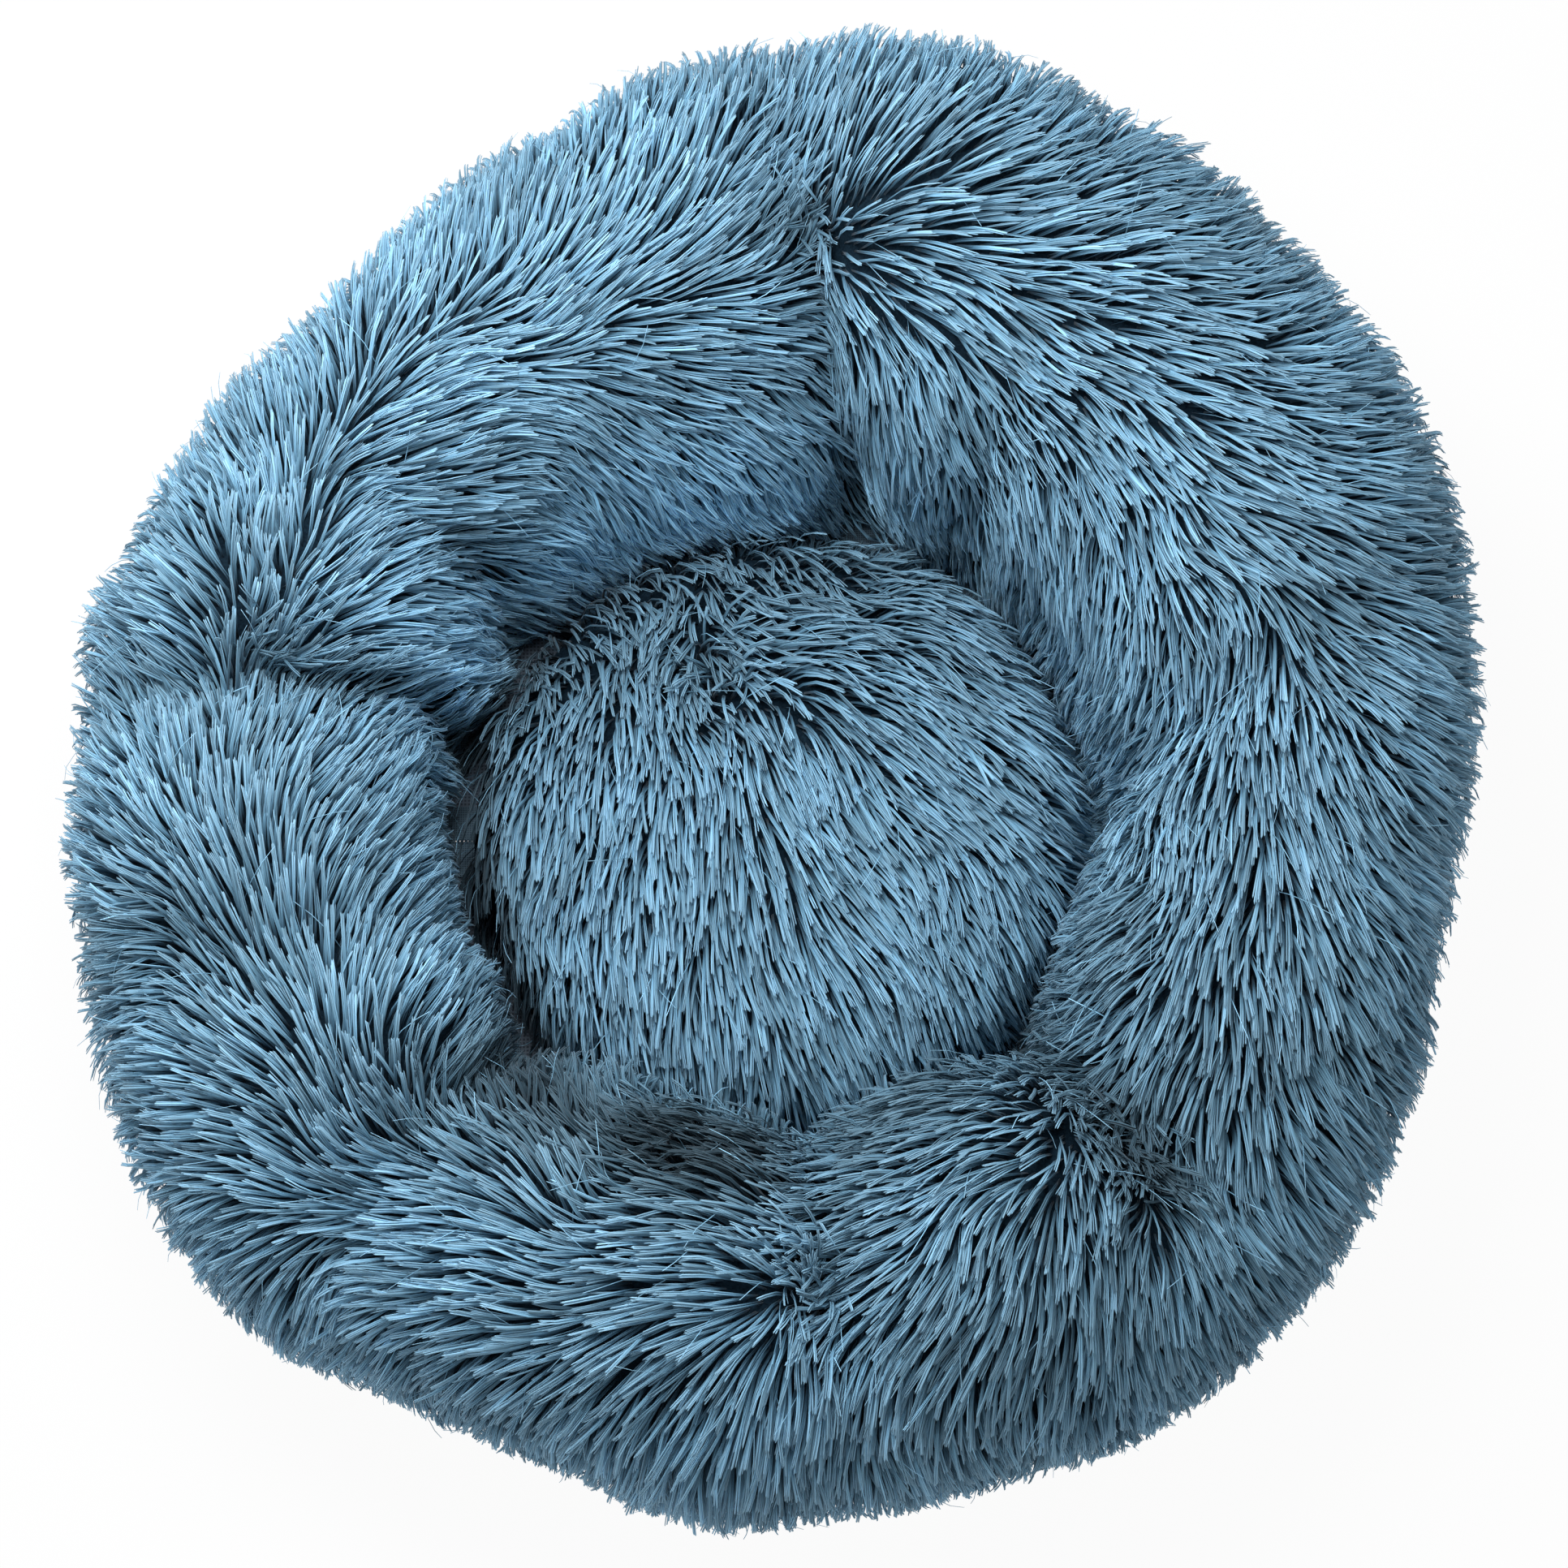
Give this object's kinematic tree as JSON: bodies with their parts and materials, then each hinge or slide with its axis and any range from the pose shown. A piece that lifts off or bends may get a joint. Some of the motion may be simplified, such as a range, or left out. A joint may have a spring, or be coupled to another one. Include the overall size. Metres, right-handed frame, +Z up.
{
  "type": "round dog bed",
  "caption": "Round pet bed with a thick stuffed fur bolster ring around a crowned fur cushion, on a flat base cloth that opens with a zip.",
  "frame": {"origin": "middle of the bed's box, on the plane it stands on", "axes": "+Z up, +Y away from the viewer of the picture, +X to the right; the zip runs along X on the underside"},
  "size_m": [0.563, 0.6114, 0.1905],
  "materials": {
    "fur": "long dusty blue shag pile, soft sheen",
    "lining": "plain white non-woven lining, matte",
    "stuffing": "white fibre filling, matte",
    "base_cloth": "coated plain-weave base cloth with small grip dots",
    "tape": "woven tape, matte",
    "zip_nylon": "nylon coil, satin",
    "zip_metal": "plated zinc, satin"
  },
  "bodies": {
    "bed": {"bolster_cover_short": "fur", "bolster_cover_long": "fur", "bolster_liner_upper": "lining", "bolster_liner_lower": "lining", "bolster_fill": "stuffing", "cushion_cover": "fur", "cushion_liner_upper": "lining", "cushion_liner_lower": "lining", "cushion_fill": "stuffing", "nest_seam_tape_near": "tape", "nest_seam_tape_far": "tape", "base_panel_near": "base_cloth", "base_panel_far": "base_cloth", "base_binding": "tape", "zip_tape_near": "tape", "zip_tape_far": "tape", "zip_coil_near": "zip_nylon", "zip_coil_far": "zip_nylon", "zip_top_stop_near": "zip_metal", "zip_top_stop_far": "zip_metal", "zip_bottom_stop": "zip_metal", "zip_end_tab_left": "tape", "zip_end_tab_right": "tape"},
    "slider": {"zip_slider": "zip_metal"},
    "pull": {"zip_pull_tab": "zip_metal"}
  },
  "joints": [
    {"name": "zip_slide", "type": "slide", "parent": "bed", "child": "slider", "axis": [-1, 0, 0], "range_m": [0, 0.346]},
    {"name": "pull_flip", "type": "hinge", "parent": "slider", "child": "pull", "pos_m": [0.17022, -0.01707, 0.0037], "axis": [0, 1, 0], "range_deg": [0, 175]}
  ]
}
